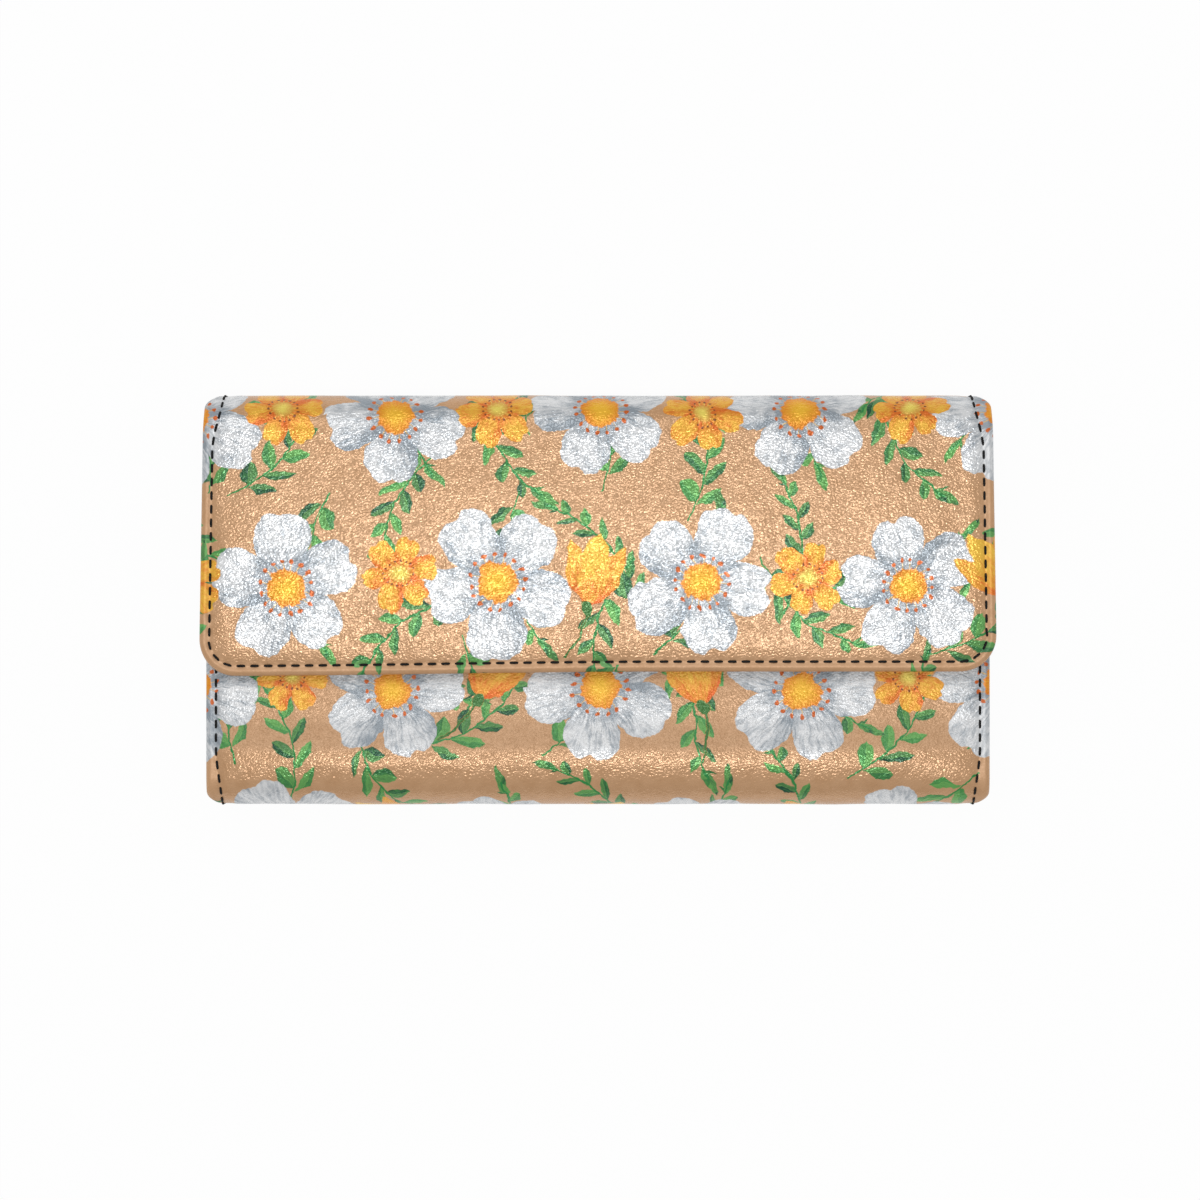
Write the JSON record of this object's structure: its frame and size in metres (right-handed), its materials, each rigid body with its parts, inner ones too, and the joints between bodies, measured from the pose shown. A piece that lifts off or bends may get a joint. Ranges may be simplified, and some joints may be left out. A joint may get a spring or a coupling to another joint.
{
  "type": "long flap wallet",
  "caption": "Long wallet in floral printed leather, with a fold-over flap, magnetic snap, note compartments, card pockets and a zipped coin pocket.",
  "frame": {"origin": "centre of the shut wallet's footprint, on the flat back that it lies on", "axes": "+X across the wallet to its right edge, +Y from the bottom fold to the top fold, +Z out of the front"},
  "size_m": [0.195, 0.1, 0.0256],
  "materials": {
    "printed_leather": "semi-gloss, fine pebble grain",
    "stiffener_board": "matt bonded fibre",
    "lining_fabric": "matt plain weave",
    "black_leather": "satin, fine grain",
    "zip_tape": "matt woven tape",
    "nickel": "polished nickel plate",
    "magnet": "dull ferrite"
  },
  "bodies": {
    "body": {"cover_back": "printed_leather", "back_board": "stiffener_board", "back_lining": "lining_fabric", "rear_card_panel": "lining_fabric", "rear_card_tier_1": "black_leather", "rear_card_tier_2": "black_leather", "rear_card_tier_3": "black_leather", "cover_bottom_fold": "printed_leather", "bottom_board": "stiffener_board", "lining_bottom_fold": "lining_fabric", "cover_rear_fold": "printed_leather", "lining_rear_fold": "lining_fabric", "left_gusset": "black_leather", "right_gusset": "black_leather"},
    "front": {"cover_front": "printed_leather", "front_board": "stiffener_board", "front_lining": "lining_fabric", "front_card_panel": "lining_fabric", "front_card_tier_1": "black_leather", "front_card_tier_2": "black_leather", "front_card_tier_3": "black_leather", "snap_socket_case": "nickel", "snap_magnet": "magnet", "snap_socket_base": "nickel", "snap_socket_washer": "nickel"},
    "divider": {"coin_pocket_rear": "lining_fabric", "coin_pocket_front": "lining_fabric", "zip_tape_rear": "zip_tape", "zip_tape_front": "zip_tape", "zip_teeth_rear": "nickel", "zip_teeth_front": "nickel", "zip_top_stops": "nickel", "zip_bottom_stop": "nickel"},
    "zip_slider": {"zip_slider": "nickel"},
    "zip_pull": {"zip_pull": "nickel"},
    "top_strip": {"cover_top_strip": "printed_leather", "top_strip_board": "stiffener_board", "lining_top_strip": "lining_fabric", "cover_front_fold": "printed_leather", "lining_front_fold": "lining_fabric"},
    "flap": {"cover_flap": "printed_leather", "flap_board": "stiffener_board", "flap_lining": "lining_fabric", "snap_stud": "nickel", "snap_stud_washer": "nickel"}
  },
  "joints": [
    {"name": "strip_fold", "type": "hinge", "parent": "body", "child": "top_strip", "pos_m": [0, 0.04832, 0.00168], "axis": [-1, 0, 0], "range_deg": [0, 90], "deforming": ["cover_rear_fold", "lining_rear_fold"]},
    {"name": "flap_fold", "type": "hinge", "parent": "top_strip", "child": "flap", "pos_m": [0, 0.04768, 0.02328], "axis": [-1, 0, 0], "range_deg": [0, 90], "deforming": ["cover_front_fold", "lining_front_fold"]},
    {"name": "front_tilt", "type": "hinge", "parent": "body", "child": "front", "pos_m": [0, -0.043, 0.0208], "axis": [1, 0, 0], "range_deg": [0, 15], "deforming": ["cover_bottom_fold", "lining_bottom_fold", "left_gusset", "right_gusset"]},
    {"name": "divider_tilt", "type": "hinge", "parent": "body", "child": "divider", "pos_m": [0, -0.045, 0.0104], "axis": [1, 0, 0], "range_deg": [0, 7.5]},
    {"name": "zip_slide", "type": "slide", "parent": "divider", "child": "zip_slider", "axis": [-1, 0, 0], "range_m": [0, 0.146], "deforming": ["zip_teeth_rear", "zip_teeth_front"]},
    {"name": "pull_swing", "type": "hinge", "parent": "zip_slider", "child": "zip_pull", "pos_m": [0.075, 0.03245, 0.0104], "axis": [0, 0, -1], "range_deg": [0, 180]}
  ],
  "couplings": [
    {"joint": "front_tilt", "follows": "strip_fold", "ratio": 0.16666},
    {"joint": "divider_tilt", "follows": "strip_fold", "ratio": 0.08333}
  ]
}
